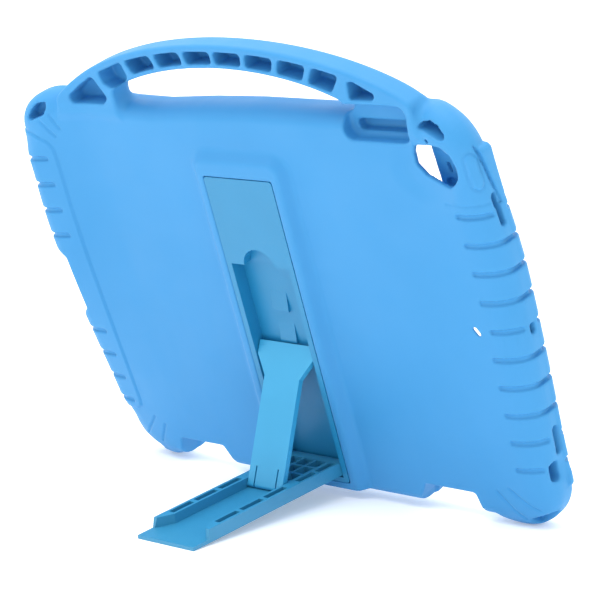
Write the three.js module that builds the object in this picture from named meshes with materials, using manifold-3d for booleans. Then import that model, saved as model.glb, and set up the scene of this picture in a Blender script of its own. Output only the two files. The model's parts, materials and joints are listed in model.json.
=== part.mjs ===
// Silicone tablet case with a carry handle and a folding plastic stand.
// The case is drawn in its own frame, in millimetres: x across, y out of the back, z up along the back.
// The tablet's centre is at x = 0, z = 0, and the flat back of the case is y = 0.
// The finished group leans back on its stand and has its origin at the bottom centre of its bounding box.

import * as THREE from 'three';
import { mergeVertices } from 'three/addons/utils/BufferGeometryUtils.js';
import Module from 'manifold-3d';

const wasm = await Module();
wasm.setup();

// Tablet and pocket
const tabletWidth = 250.6;
const tabletHeight = 174.1;
const tabletThickness = 7.5;
const pocketClearance = 0.3;
const pocketCorner = 9;
const floorThickness = 4;
const lipThickness = 3;
const lipOverlap = 4;
const bumperHeight = 6.2;
const lipFlare = 6.5;

// Walls and rounding of the shell
const sideWall = 12.2;
const endWall = 12.2;
const sideBulge = 2;
const bumperRadius = 23;
const bumperRise = 4.5;
const backRoundWide = 16;
const backRoundNarrow = 7;
const backRoundDepth = 11;
const frontRound = 6;
const cornerBlend = 13.8;
const flankTop = 87;
const flankBottom = -84;
const flankBack = -8.5;
const flankSink = 0.2;
const flankCorner = 3;

// Carry handle
const handleRise = 30.8;
const handleOuterHalf = 132;
const handleOuterRise = 53;
const handleWidth = 11.5;
const handleInnerHalf = 105;
const handleInnerRise = 48;
const handleThickness = 14;
const handleBackEdge = 1.6;
const handleFrontEdge = 4.5;
const handleEdgeStep = 1.35;
const handleRootHalf = 110;
const handleRootSlant = 6;
const handleRootDepth = 7.2;
const slotHalf = 72;
const ribPitch = 18;
const ribThickness = 2.2;
const pocketRim = 2.2;
const pocketDepth = 10;
const ribLean = 0.06;
const arcPockets = 8;

// Raised pad around the stand plate
const padHeight = 4.5;
const padHalfTop = 25.5;
const padSlope = 4.5;
const padRim = 7.4;
const padCorner = 5;
// Rounding of the pad's edge, as shares of its height and of its slope.
const padRounding = [[0, 1], [0.45, 0.5], [0.85, 0.15], [1, 0]];

// Stand plate
const plateWidth = 42.2;
const plateTop = 66.6;
const plateRim = 8.55;
const plateClearance = 0.3;
const plateFloor = 1.1;
const plateCorner = 1.6;
const flangeWidth = 3;
const flangeThickness = 1.6;
const flangeInset = 5;
const scoopRadius = 10;
const scoopDepth = 5;
const scoopDrop = 1;
const scoopRise = 9.5;
const toothHeight = 1.4;
const toothFlat = 1;
const toothRoot = 0.5;
const toothLength = 10;
const toothWidth = 10;
const toothPitch = 16.5;
const toothFace = -20.6;

// Stand foot
const footWidth = 35.3;
const footLength = 106;
const footThickness = 6.4;
const footBase = 1.8;
const footSideGap = 0.4;
const footTopGap = 0.25;
const tongueLength = 10;
const hingeRise = 6.5;
const railWall = 1.5;
const railPivotBlock = 6.5;
const railEndBlock = 9.8;
const railWeb = 2.4;
const railPockets = 3;
const railTipWall = 0.6;
const railTipSlope = 1.5;
const channelFlareGap = 1.5;
const pivotBlock = 4;
const hingeBlock = 2;
const hingePockets = 2;
const hingePocketWeb = 2;
const fieldRows = 3;
const fieldColumns = 3;
const fieldWeb = 1.4;

// Hinge pin and strut
const pinRadius = 1;
const pinClearance = 0.3;
const pinEndWall = 0.8;
const strutThickness = 2.8;
const strutWidth = 22;
const strutTipGap = 0.7;
const strutPivot = 37;
const strutHeadLength = 6.5;
const strutTaper = 10;
const strutGap = 0.3;
const trunnionRadius = 1.3;
const trunnionLength = 2.2;
const trunnionEndGap = 0.2;
const slitWidth = 0.8;
const slitLength = 9;
const slitInset = 4.2;
const headGap = 0.2;

// Grooves of the sides and corners
const grooveWidth = 2.4;
const grooveDepth = 1.1;
const groovePitch = 14;
const grooveCount = 5;
const portGrooveGap = 1;
const grooveFrontRise = 2;
const grooveReachCamera = 17;
const grooveReachPort = 9;
const micGrooveShort = 2;
const lineWidth = 1.2;
const lineDepth = 0.8;
// The two lines of a corner, as offsets from the bumper's centre counted outwards.
const cornerLines = [[[1.5, 11], [-6, 1]], [[9, 6.5], [0, -3.5]]];
const bandReach = 18.5;
const bandTop = 70;
const bandBottom = 66;

// Openings of the case
const cornerHoleRadius = 6.2;
const cornerHoleOut = 7;
const cornerHoleUp = 13;
const cornerHoleSkew = 3;
const openingSill = 0.8;
const volumeLap = 3;
const volumeRise = 5.5;
const volumeSill = 1.2;
const volumeLength = 36;
const volumeDepth = 7;
const volumeSlotDepth = 12;
const volumeSlotWidth = 5.2;
const volumeCorner = 3.5;
const speakerWidth = 3.4;
const topSpeaker = { height: 57, length: 16 };
const bottomSpeaker = { height: -56.3, length: 14.6 };
const micRadius = 2.2;
const jackRadius = 4.7;
const jackBowlRadius = 9.3;
const jackBowlFloor = 5.3;
const jackBowlDepth = 5;
const jackHeight = -73.5;
const portWidth = 16;
const portHeight = 7;
const portNotchHalf = 15;
const portNotchSlope = 5;
const portNotchDepth = 6.5;
const sideCutReach = 4.9;
const bottomCutFrom = 60;
const bottomCutTo = 97;
const bottomCutTaper = 3;
const bottomCutFlare = 5;
const rearMicInset = 7.6;
const rearMicRadius = 0.9;
const rearMicLength = 2.4;
const dimpleRadius = 0.7;
const dimpleUp = 9;
const dimpleDepth = 2.8;
const powerLength = 17;
const powerWidth = 5.8;
const powerRise = 0.6;
const powerHeight = 76;
const powerSlope = 40;
const powerSink = 2;

// How far a cutting tool runs past the face that it opens.
const past = 1;

const SIDE_CAMERA = -1;
const SIDE_PORT = 1;

// Derived sizes of the shell
const pocketHalfX = tabletWidth / 2 + pocketClearance;
const pocketHalfZ = tabletHeight / 2 + pocketClearance;
const pocketFront = -floorThickness - tabletThickness - pocketClearance;
const shellFront = pocketFront - lipThickness - bumperHeight;
const cornerHalfX = pocketHalfX + sideWall;
const edgeHalfZ = pocketHalfZ + endWall;
const bumperX = cornerHalfX - bumperRadius;
const bumperZ = edgeHalfZ + bumperRise - bumperRadius;
const sideHalfX = cornerHalfX + sideBulge;
const tabletMiddle = -floorThickness - tabletThickness / 2;

// Derived heights of the pad and of the stand
const padTop = plateTop + padRim;
const plateBottom = -edgeHalfZ + plateRim;
const flangeBottom = plateBottom + flangeInset;
const hingeHeight = plateBottom + hingeRise;

// Materials
const silicone = new THREE.MeshStandardMaterial({ color: 0x5fb2f4, roughness: 0.62, metalness: 0 });
const platePlastic = new THREE.MeshStandardMaterial({ color: 0x4fa6e0, roughness: 0.45, metalness: 0 });
const footPlastic = new THREE.MeshStandardMaterial({ color: 0x2889cb, roughness: 0.4, metalness: 0 });
const strutPlastic = new THREE.MeshStandardMaterial({ color: 0x3d9ad6, roughness: 0.4, metalness: 0 });
const pinSteel = new THREE.MeshStandardMaterial({ color: 0xb8bcc2, roughness: 0.3, metalness: 1 });

// Turns a closed geometry into a solid that can be joined and cut.
function solid(geometry) {
  const bare = geometry.clone();
  bare.deleteAttribute('normal');
  bare.deleteAttribute('uv');
  const merged = mergeVertices(bare, 1e-4);
  const vertProperties = new Float32Array(merged.attributes.position.array);
  const triVerts = new Uint32Array(merged.index.array);
  return new wasm.Manifold(new wasm.Mesh({ numProp: 3, vertProperties, triVerts }));
}

// Turns a solid back into a named mesh.
function named(manifold, name, material) {
  const { vertProperties, triVerts } = manifold.getMesh();
  const geometry = new THREE.BufferGeometry();
  geometry.setAttribute('position', new THREE.BufferAttribute(Float32Array.from(vertProperties), 3));
  geometry.setIndex(new THREE.BufferAttribute(Uint32Array.from(triVerts), 1));
  geometry.computeVertexNormals();
  const mesh = new THREE.Mesh(geometry, material);
  mesh.name = name;
  return mesh;
}

function signedVolume(positions, index) {
  const [a, b, c] = [new THREE.Vector3(), new THREE.Vector3(), new THREE.Vector3()];
  let sum = 0;
  for (let i = 0; i < index.length; i += 3) {
    a.fromArray(positions, 3 * index[i]);
    b.fromArray(positions, 3 * index[i + 1]);
    c.fromArray(positions, 3 * index[i + 2]);
    sum += a.dot(b.cross(c));
  }
  return sum / 6;
}

// A closed body through rings of equally many points.
// A ring is { y, outline }, and its outline's points are [x, z].
function loft(rings) {
  const count = rings[0].outline.length;
  const contour = rings[0].outline.map(([x, z]) => new THREE.Vector2(x, z));
  const turn = Math.sign(THREE.ShapeUtils.area(contour));
  const positions = rings.flatMap(({ y, outline }) => outline.flatMap(([x, z]) => [x, y, z]));
  const index = [];
  for (let ring = 0; ring + 1 < rings.length; ring++) {
    for (let i = 0; i < count; i++) {
      const next = (i + 1) % count;
      const [a, b] = [ring * count + i, ring * count + next];
      index.push(a, b, b + count, a, b + count, a + count);
    }
  }
  const last = (rings.length - 1) * count;
  for (const face of THREE.ShapeUtils.triangulateShape(contour, [])) {
    const area = THREE.ShapeUtils.area(face.map((k) => contour[k]));
    const [a, b, c] = Math.sign(area) === turn ? face : [face[0], face[2], face[1]];
    index.push(a, c, b, last + a, last + b, last + c);
  }
  if (signedVolume(positions, index) < 0) {
    index.reverse();
  }
  const geometry = new THREE.BufferGeometry();
  geometry.setAttribute('position', new THREE.Float32BufferAttribute(positions, 3));
  geometry.setIndex(index);
  return solid(geometry);
}

// A straight prism: an outline in x and z between two values of y.
function prism(outline, low, high) {
  return loft([{ y: low, outline }, { y: high, outline }]);
}

// A prism across the case: an outline in y and z between two values of x.
function crossPrism(outline, low, high) {
  const shape = new THREE.Shape(outline.map(([y, z]) => new THREE.Vector2(y, z)));
  const geometry = new THREE.ExtrudeGeometry(shape, { depth: high - low, bevelEnabled: false });
  geometry.applyMatrix4(new THREE.Matrix4().set(0, 0, 1, low, 1, 0, 0, 0, 0, 1, 0, 0, 0, 0, 0, 1));
  return solid(geometry);
}

function box(x, y, z) {
  const geometry = new THREE.BoxGeometry(x[1] - x[0], y[1] - y[0], z[1] - z[0]);
  geometry.translate((x[0] + x[1]) / 2, (y[0] + y[1]) / 2, (z[0] + z[1]) / 2);
  return solid(geometry);
}

// A round taper along x, with its radius at the low and at the high end.
function crossCone(lowRadius, highRadius, low, high, y, z, sides = 16) {
  const geometry = new THREE.CylinderGeometry(lowRadius, highRadius, high - low, sides);
  geometry.rotateZ(Math.PI / 2);
  geometry.translate((low + high) / 2, y, z);
  return solid(geometry);
}

// A round bar along x.
function crossBar(radius, low, high, y, z, sides = 16) {
  return crossCone(radius, radius, low, high, y, z, sides);
}

function roundedRectangle(left, right, bottom, top, radius, steps = 4) {
  const centres = [[right, top], [left, top], [left, bottom], [right, bottom]];
  return centres.flatMap(([x, z], quarter) => {
    const cx = x - Math.sign(x - (left + right) / 2) * radius;
    const cz = z - Math.sign(z - (bottom + top) / 2) * radius;
    return Array.from({ length: steps + 1 }, (_, i) => {
      const angle = (quarter + i / steps) * Math.PI / 2;
      return [cx + radius * Math.cos(angle), cz + radius * Math.sin(angle)];
    });
  });
}

// A slot outline with round ends between two points.
function stadium(from, to, radius, steps = 6) {
  const heading = Math.atan2(to[1] - from[1], to[0] - from[0]);
  const cap = (centre, start) => Array.from({ length: steps + 1 }, (_, i) => {
    const angle = start + i / steps * Math.PI;
    return [centre[0] + radius * Math.cos(angle), centre[1] + radius * Math.sin(angle)];
  });
  return [...cap(to, heading - Math.PI / 2), ...cap(from, heading + Math.PI / 2)];
}

// Moves every point of a closed outline inwards along its own normal.
function insetOutline(outline, distance) {
  const count = outline.length;
  return outline.map((point, i) => {
    const before = outline[(i + count - 1) % count];
    const after = outline[(i + 1) % count];
    const into = new THREE.Vector2(point[0] - before[0], point[1] - before[1]).normalize();
    const out = new THREE.Vector2(after[0] - point[0], after[1] - point[1]).normalize();
    const along = into.add(out).normalize();
    const step = distance(point);
    return [point[0] - along.y * step, point[1] + along.x * step];
  });
}

// Outline of the case, seen from the back, without the handle.
function shellOutline() {
  const reach = Math.asin((edgeHalfZ - bumperZ) / bumperRadius);
  const path = new THREE.Path();
  path.moveTo(cornerHalfX, -bumperZ);
  path.quadraticCurveTo(cornerHalfX + 2 * sideBulge, 0, cornerHalfX, bumperZ);
  path.absarc(bumperX, bumperZ, bumperRadius, 0, Math.PI - reach);
  path.absarc(-bumperX, bumperZ, bumperRadius, reach, Math.PI);
  path.quadraticCurveTo(-cornerHalfX - 2 * sideBulge, 0, -cornerHalfX, -bumperZ);
  path.absarc(-bumperX, -bumperZ, bumperRadius, Math.PI, 2 * Math.PI - reach);
  path.absarc(bumperX, -bumperZ, bumperRadius, Math.PI + reach, 2 * Math.PI);
  const points = path.getPoints(6).map(({ x, y }) => [x, y]);
  return points.filter((point, i) => {
    const next = points[(i + 1) % points.length];
    return Math.hypot(point[0] - next[0], point[1] - next[1]) > 1e-3;
  });
}

// How far the back rounding reaches in from the outline.
// It is narrow on the long edges and wide at the corners and sides.
function backRoundReach([x]) {
  const share = THREE.MathUtils.smoothstep(Math.abs(x), bumperX - cornerBlend, bumperX);
  return THREE.MathUtils.lerp(backRoundNarrow, backRoundWide, share);
}

// Share of the back rounding's reach at a depth y, an ellipse from the flat back to the side.
function backRoundShare(y) {
  const rise = THREE.MathUtils.clamp((y + backRoundDepth) / backRoundDepth, 0, 1);
  return 1 - Math.sqrt(1 - rise * rise);
}

function shellBody() {
  const outline = shellOutline();
  const backAngles = [90, 70, 52, 35, 18, 0];
  const frontAngles = [0, 35, 65, 90];
  const backRings = backAngles.map((degrees) => {
    const y = backRoundDepth * (Math.sin(THREE.MathUtils.degToRad(degrees)) - 1);
    return { y, outline: insetOutline(outline, (point) => backRoundReach(point) * backRoundShare(y)) };
  });
  const frontRings = frontAngles.map((degrees) => {
    const angle = THREE.MathUtils.degToRad(degrees);
    const y = shellFront + frontRound * (1 - Math.sin(angle));
    return { y, outline: insetOutline(outline, () => frontRound * (1 - Math.cos(angle))) };
  });
  return loft([...backRings, ...frontRings]);
}

function ellipseHeight(x, centre, half, rise) {
  return centre + rise * Math.sqrt(1 - (x / half) ** 2);
}

const handleTop = edgeHalfZ + handleRise;
const handleOuter = (x) => {
  return ellipseHeight(x, handleTop - handleOuterRise, handleOuterHalf, handleOuterRise);
};
const handleInner = (x) => {
  return ellipseHeight(x, handleTop - handleWidth - handleInnerRise, handleInnerHalf, handleInnerRise);
};

function arcPoints(height, from, to, steps) {
  return Array.from({ length: steps + 1 }, (_, i) => {
    const x = THREE.MathUtils.lerp(from, to, i / steps);
    return [x, height(x)];
  });
}

// The arched handle, flush with the back, with its finger slot.
function handleBody() {
  const foot = edgeHalfZ - handleRootDepth;
  const footHalf = handleRootHalf - handleRootSlant;
  const arch = arcPoints(handleOuter, handleRootHalf, -handleRootHalf, 28);
  const outline = [...arch, [-footHalf, foot], [footHalf, foot]];
  const ring = (y, step) => ({ y, outline: insetOutline(outline, () => step) });
  const body = loft([
    ring(0, handleBackEdge),
    ring(-handleBackEdge, 0),
    ring(handleFrontEdge - handleThickness, 0),
    ring(handleEdgeStep - handleThickness, handleEdgeStep),
    ring(-handleThickness, handleFrontEdge),
  ]);
  const slot = [
    ...arcPoints(handleInner, slotHalf, -slotHalf, 20), [-slotHalf, pocketHalfZ], [slotHalf, pocketHalfZ],
  ];
  return body.subtract(prism(slot, -handleThickness - past, past));
}

// Blind pockets between the ribs of the handle, and the two odd ones at its roots.
function handlePockets() {
  const pockets = [];
  for (let i = 0; i < arcPockets; i++) {
    const low = (i - arcPockets / 2) * ribPitch + ribThickness / 2;
    const high = low + ribPitch - ribThickness;
    const outer = arcPoints((x) => handleOuter(x) - pocketRim - handleBackEdge, high, low, 2);
    const inner = arcPoints((x) => handleInner(x) + pocketRim, low, high, 2);
    const lean = ([x, z], side) => [x * (1 + side * ribLean), z];
    pockets.push([...outer.map((p) => lean(p, 1)), ...inner.map((p) => lean(p, -1))]);
  }
  const rootStart = (arcPockets / 2) * ribPitch + ribThickness;
  const rootTop = (x) => handleOuter(x) - pocketRim - handleBackEdge;
  pockets.push([
    [rootStart + 2, edgeHalfZ + 1.6],
    [rootStart + 6, edgeHalfZ - 1.4],
    [rootStart + 27, edgeHalfZ - 2],
    [rootStart + 30, edgeHalfZ + 2.6],
    [rootStart + 19, rootTop(rootStart + 19)],
    [rootStart + 8, rootTop(rootStart + 8)],
  ]);
  pockets.push([
    [-rootStart - 1, edgeHalfZ + 7.5],
    [-rootStart - 13, edgeHalfZ + 8],
    [-rootStart - 14, edgeHalfZ + 9.5],
    [-rootStart - 4, rootTop(rootStart + 4)],
  ]);
  return pockets.map((outline) => prism(outline, -pocketDepth, past));
}

// The raised pad runs from its top edge down to the bottom edge of the case.
function padBody() {
  const ring = (y, grow) => {
    const half = padHalfTop + grow;
    const [bottom, top] = [-edgeHalfZ + padCorner - grow, padTop + grow];
    return { y, outline: roundedRectangle(-half, half, bottom, top, padCorner + grow) };
  };
  const rings = padRounding.map(([rise, slope]) => ring(padHeight * rise, padSlope * slope));
  return loft([ring(-backRoundDepth / 2, padSlope), ...rings]);
}

// The tablet's pocket and the flared opening in front of it.
function pocketCut() {
  const pocket = roundedRectangle(-pocketHalfX, pocketHalfX, -pocketHalfZ, pocketHalfZ, pocketCorner);
  const ring = (y, grow) => {
    const halfX = pocketHalfX - lipOverlap + grow;
    const halfZ = pocketHalfZ - lipOverlap + grow;
    return { y, outline: roundedRectangle(-halfX, halfX, -halfZ, halfZ, pocketCorner + grow) };
  };
  const mouth = loft([
    ring(pocketFront + past, 0),
    ring(pocketFront - lipThickness, 0),
    ring(shellFront, lipFlare),
    ring(shellFront - past, lipFlare),
  ]);
  return prism(pocket, pocketFront, -floorThickness).add(mouth);
}

// The window for the stand plate and the rebate for its flange.
function windowCut() {
  const half = plateWidth / 2 + plateClearance;
  const wide = half + flangeWidth;
  const inside = -floorThickness;
  const step = inside + flangeThickness + 2 * plateClearance;
  const window = box(
    [-half, half],
    [inside, padHeight + past],
    [plateBottom - plateClearance, plateTop + plateClearance],
  );
  const rebate = box(
    [-wide, wide],
    [inside - past, step],
    [flangeBottom - plateClearance, plateTop + flangeWidth + plateClearance],
  );
  return window.add(rebate);
}

// Half width of the case at a height z, between the corner bumpers.
function sideHalfAt(z) {
  return cornerHalfX + sideBulge * (1 - (z / bumperZ) ** 2);
}

// One channel that wraps the rounded side edge. Its reach is how far in from the side it starts.
function sideGroove(side, z, reach) {
  const half = sideHalfAt(z);
  const start = half - reach;
  const floor = [];
  for (let degrees = 90; degrees >= 0; degrees -= 15) {
    const angle = THREE.MathUtils.degToRad(degrees);
    const x = half - backRoundWide * (1 - Math.cos(angle)) - grooveDepth * Math.cos(angle);
    const y = -backRoundDepth * (1 - Math.sin(angle)) - grooveDepth * Math.sin(angle);
    if (x > start) {
      floor.push([x, y]);
    }
  }
  const front = shellFront + frontRound;
  const outer = half + frontRound;
  const profile = [
    [start, floor[0][1] + grooveDepth], ...floor, [half - grooveDepth, front],
    [outer, front - grooveFrontRise], [outer, grooveDepth], [start, grooveDepth],
  ];
  const shape = new THREE.Shape(profile.map(([x, y]) => new THREE.Vector2(side * x, y)));
  const geometry = new THREE.ExtrudeGeometry(shape, { depth: grooveWidth, bevelEnabled: false });
  geometry.translate(0, 0, z - grooveWidth / 2);
  return solid(geometry);
}

// Grooves down both sides.
// The camera side's top is bare, and the port side leaves room for the port notch.
function sideGrooves() {
  const cuts = [];
  for (let i = -grooveCount; i <= grooveCount; i++) {
    if (i < grooveCount) {
      const reach = i === 0 ? grooveReachCamera - micGrooveShort : grooveReachCamera;
      cuts.push(sideGroove(SIDE_CAMERA, i * groovePitch, reach));
    }
    if (Math.abs(i) > portGrooveGap) {
      cuts.push(sideGroove(SIDE_PORT, i * groovePitch, grooveReachPort));
    }
  }
  return cuts;
}

// A point near a corner bumper's centre, with offsets counted outwards.
function bumperPoint(sx, sz, outX, outZ) {
  return [sx * (bumperX + outX), sz * (bumperZ + outZ)];
}

// The four corners as signs of x and z.
const corners = [[SIDE_PORT, 1], [SIDE_CAMERA, 1], [SIDE_PORT, -1], [SIDE_CAMERA, -1]];

// Blind holes in the four corner bumpers, half-moon shaped.
function cornerHoles() {
  return corners.map(([sx, sz]) => {
    const [x, z] = bumperPoint(sx, sz, cornerHoleOut + SIDE_PORT * sx * cornerHoleSkew, cornerHoleUp);
    const heading = Math.atan2(sz, sx);
    const outline = Array.from({ length: 9 }, (_, i) => {
      const angle = heading - Math.PI / 2 + i / 8 * Math.PI;
      return [x + cornerHoleRadius * Math.cos(angle), z + cornerHoleRadius * Math.sin(angle)];
    });
    return prism(outline, -pocketDepth, past);
  });
}

// Recess over the volume buttons, with the narrower slot in its floor.
function volumeRecess() {
  const inner = SIDE_CAMERA * (slotHalf - volumeLap);
  const outer = inner + SIDE_CAMERA * volumeLength;
  const low = pocketHalfZ + openingSill;
  const recess = roundedRectangle(outer, inner, low, edgeHalfZ + volumeRise, volumeCorner);
  const middle = low + volumeSill + volumeSlotWidth / 2;
  const corner = SIDE_CAMERA * volumeCorner;
  const slot = stadium([outer - corner, middle], [inner + corner, middle], volumeSlotWidth / 2);
  return [prism(recess, -volumeDepth, past), prism(slot, -volumeSlotDepth, past)];
}

// The camera window: a round-cornered tear that narrows downwards, measured in from the pocket's corner.
function cameraHole() {
  const offsets = [
    [18.1, 0.8], [20.6, 2.5], [21.4, 5.3], [20.4, 8.3], [17.1, 11.3], [8.6, 16.5],
    [5.8, 17.5], [3, 16.9], [1, 14.3], [0.6, 7.3], [2.6, 2.7], [6.6, 0.8],
  ];
  const outline = offsets.map(([dx, dz]) => [SIDE_CAMERA * (pocketHalfX - dx), pocketHalfZ - dz]);
  return prism(outline, -floorThickness - past, past);
}

// Openings in the side walls for the speakers, microphone, headphone jack and charging port.
function sideOpenings() {
  const wall = [pocketHalfX - past, sideHalfX + past];
  const span = (side) => (side < 0 ? [-wall[1], -wall[0]] : wall);
  const sideSlot = (side, z, length, width) => {
    const reach = (length - width) / 2;
    const outline = stadium([tabletMiddle, z - reach], [tabletMiddle, z + reach], width / 2);
    return crossPrism(outline, ...span(side));
  };
  const bowlFrom = -wall[1];
  const bowlTo = -sideHalfX + jackBowlDepth;
  const bowlTaper = (jackBowlRadius - jackBowlFloor) / jackBowlDepth;
  const bowlMouth = jackBowlFloor + bowlTaper * (bowlTo - bowlFrom);
  return [
    sideSlot(SIDE_CAMERA, topSpeaker.height, topSpeaker.length, speakerWidth),
    sideSlot(SIDE_CAMERA, bottomSpeaker.height, bottomSpeaker.length, speakerWidth),
    crossBar(micRadius, ...span(SIDE_CAMERA), tabletMiddle, 0, 10),
    crossBar(jackRadius, ...span(SIDE_CAMERA), tabletMiddle, jackHeight, 16),
    crossCone(bowlMouth, jackBowlFloor, bowlFrom, bowlTo, tabletMiddle, jackHeight, 24),
    sideSlot(SIDE_PORT, 0, portWidth, portHeight),
    portNotch(),
  ];
}

// The wide notch in the side wall in front of the charging port.
function portNotch() {
  const inner = sideHalfX - portNotchDepth;
  const outer = sideHalfX + frontRound;
  const wide = portNotchHalf + portNotchSlope;
  const outline = [[inner, -portNotchHalf], [outer, -wide], [outer, wide], [inner, portNotchHalf]];
  return prism(outline, tabletMiddle - sideCutReach, past);
}

// Cut-outs in the bottom wall, one on each side of the stand.
function bottomCuts() {
  const top = -pocketHalfZ + openingSill;
  const below = -edgeHalfZ - bumperRise - past;
  return [-1, 1].map((side) => {
    const outline = [
      [bottomCutTo - bottomCutTaper, top], [bottomCutFrom + bottomCutFlare, top],
      [bottomCutFrom, -edgeHalfZ + bumperRise], [bottomCutFrom - bottomCutFlare, below],
      [bottomCutTo, below], [bottomCutTo, -edgeHalfZ + bottomCutTaper],
    ];
    return prism(outline.map(([x, z]) => [side * x, z]), tabletMiddle - sideCutReach, past);
  });
}

// Short slanted grooves at the corners, and the long edge line of the port side's band.
function backLines() {
  const line = (from, to) => prism(stadium(from, to, lineWidth / 2, 3), -lineDepth - grooveDepth, past);
  const lines = [];
  for (const [sx, sz] of corners) {
    if (sx !== SIDE_CAMERA || sz < 0) {
      for (const [from, to] of cornerLines) {
        lines.push(line(bumperPoint(sx, sz, ...from), bumperPoint(sx, sz, ...to)));
      }
    }
  }
  const band = SIDE_PORT * (sideHalfX - bandReach);
  lines.push(line([band, -bandBottom], [band, bandTop]));
  return lines;
}

// The microphone hole through the back, and the small dimple by the corner hole.
function smallHoles() {
  const mic = SIDE_CAMERA * (pocketHalfX - rearMicInset);
  const half = rearMicLength / 2;
  const dimple = bumperPoint(SIDE_CAMERA, 1, 0, dimpleUp);
  const dimpleEnd = [dimple[0] - dimpleRadius, dimple[1] + dimpleRadius];
  return [
    prism(stadium([mic, -half], [mic + half, half], rearMicRadius, 4), -floorThickness - past, past),
    prism(stadium(dimple, dimpleEnd, dimpleRadius, 4), -dimpleDepth, past),
  ];
}

// The raised oval over the power button, on the rounded edge.
function powerPill() {
  const slope = THREE.MathUtils.degToRad(powerSlope);
  const reach = (powerLength - powerWidth) / 2;
  const outline = stadium([0, -reach], [0, reach], powerWidth / 2);
  const shape = new THREE.Shape(outline.map((point) => new THREE.Vector2(...point)));
  const depth = powerRise + powerSink;
  const geometry = new THREE.ExtrudeGeometry(shape, { depth, bevelEnabled: false });
  geometry.translate(0, 0, -powerSink);
  const across = Math.sin(slope) / backRoundWide;
  const out = Math.cos(slope) / backRoundDepth;
  const normal = new THREE.Vector3(SIDE_CAMERA * across, out, 0).normalize();
  const up = new THREE.Vector3(0, 0, 1);
  const along = new THREE.Vector3().crossVectors(up, normal);
  geometry.applyMatrix4(new THREE.Matrix4().makeBasis(along, up, normal));
  const x = sideHalfAt(powerHeight) - backRoundWide * (1 - Math.sin(slope));
  geometry.translate(SIDE_CAMERA * x, -backRoundDepth * (1 - Math.cos(slope)), powerHeight);
  return solid(geometry);
}

// The camera side's flank keeps straight past the round corners and stands proud of them at both ends.
function flankStrip() {
  const outer = SIDE_CAMERA * (sideHalfX - flankSink);
  const inner = SIDE_CAMERA * (pocketHalfX + lipThickness);
  const outline = roundedRectangle(outer, inner, flankBottom, flankTop, flankCorner);
  return prism(outline, shellFront + frontRound, flankBack);
}

function siliconeShell() {
  let shell = shellBody().add(handleBody()).add(padBody()).add(powerPill()).add(flankStrip());
  const cuts = [
    pocketCut(), windowCut(), cameraHole(), ...handlePockets(), ...sideGrooves(), ...cornerHoles(),
    ...volumeRecess(), ...sideOpenings(), ...bottomCuts(), ...backLines(), ...smallHoles(),
  ];
  for (const cut of cuts) {
    shell = shell.subtract(cut);
  }
  return shell;
}

// Linkage of the stand, in the plane of y and z
const strutLength = footLength - strutPivot - strutTipGap;
const recessHalf = footWidth / 2 + footSideGap;
const recessFloor = -floorThickness + plateClearance + plateFloor;
const hingeY = padHeight - footTopGap - footThickness / 2;
const pivotHeight = -footThickness / 2 + footBase + strutGap + strutThickness / 2;
const recessTop = hingeHeight + footLength + 2 * footSideGap;
const headY = recessFloor + strutGap + strutThickness / 2;
const headZ = toothFace - strutGap;

// The foot's angle from the plate when the strut's head stands against its tooth.
function openAngle() {
  const toHead = Math.hypot(headZ - hingeHeight, headY - hingeY);
  const toPivot = Math.hypot(strutPivot, pivotHeight);
  const between = Math.acos((toPivot ** 2 + toHead ** 2 - strutLength ** 2) / (2 * toPivot * toHead));
  return Math.atan2(headY - hingeY, headZ - hingeHeight) + between + Math.atan2(pivotHeight, strutPivot);
}

const footAngle = openAngle();

// A point of the foot, given along it and above its middle plane, as [y, z] in the case frame.
function footPoint(along, above) {
  return [
    hingeY + along * Math.sin(footAngle) - above * Math.cos(footAngle),
    hingeHeight + along * Math.cos(footAngle) + above * Math.sin(footAngle),
  ];
}

const pivotPoint = footPoint(strutPivot, pivotHeight);
const strutAngle = Math.atan2(headY - pivotPoint[0], headZ - pivotPoint[1]);

// The plate with its flange, the long recess, the finger scoop and the teeth.
function standPlate() {
  const half = plateWidth / 2;
  const inside = -floorThickness + plateClearance;
  const outline = roundedRectangle(-half, half, plateBottom, plateTop, plateCorner, 3);
  let plate = prism(outline, inside, padHeight);
  plate = plate.add(box(
    [-half - flangeWidth + plateClearance, half + flangeWidth - plateClearance],
    [inside, inside + flangeThickness],
    [flangeBottom, plateTop + flangeWidth - plateClearance],
  ));
  const recessBottom = hingeHeight - footThickness / 2 - 2 * footSideGap;
  const depth = [recessFloor, padHeight + past];
  plate = plate.subtract(box([-recessHalf, recessHalf], depth, [recessBottom, recessTop]));
  const scoop = Array.from({ length: 13 }, (_, i) => {
    const angle = i / 12 * Math.PI;
    return [scoopRadius * Math.cos(angle), recessTop - scoopDrop + scoopRise * Math.sin(angle)];
  });
  plate = plate.subtract(prism(scoop, padHeight - scoopDepth, padHeight + past));
  for (const face of [toothFace, toothFace + toothPitch]) {
    const wedge = [
      [recessFloor - toothRoot, face],
      [recessFloor + toothHeight, face],
      [recessFloor + toothHeight, face + toothFlat],
      [recessFloor, face + toothLength],
      [recessFloor - toothRoot, face + toothLength],
    ];
    plate = plate.add(crossPrism(wedge, -toothWidth / 2, toothWidth / 2));
  }
  const pinHalf = half - pinEndWall;
  return plate.subtract(crossBar(pinRadius + pinClearance, -pinHalf, pinHalf, hingeY, hingeHeight, 16));
}

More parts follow.
